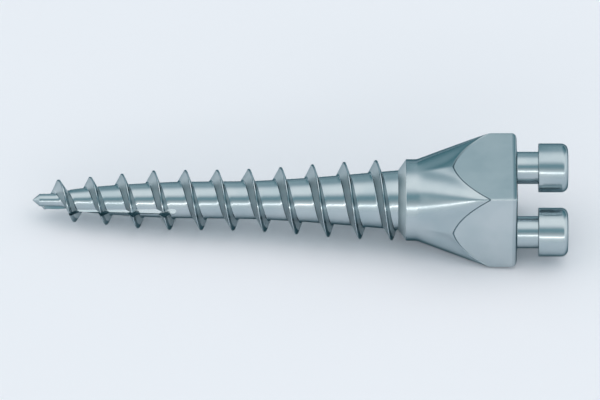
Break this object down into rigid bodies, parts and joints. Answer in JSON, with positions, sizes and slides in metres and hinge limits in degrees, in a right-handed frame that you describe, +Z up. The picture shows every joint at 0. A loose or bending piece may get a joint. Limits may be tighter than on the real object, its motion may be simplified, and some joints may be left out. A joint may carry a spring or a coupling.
{
  "type": "dental mini implant",
  "caption": "Solid titanium dental mini implant: a tapered self-tapping screw under a square driving head, with round button posts on the end of the head.",
  "frame": {"origin": "on the table under the middle of the implant as it lies, at the bottom centre of its box", "axes": "+X from the point towards the head, +Z up. The implant lies on a flat of its square head and on the crest of its thread, so its own axis dips 3.5 degrees below X towards the point."},
  "size_m": [0.012, 0.0022, 0.0023],
  "materials": {
    "titanium": "fine turned satin, blue-grey"
  },
  "bodies": {
    "root": {"mini_implant": "titanium"}
  },
  "joints": []
}
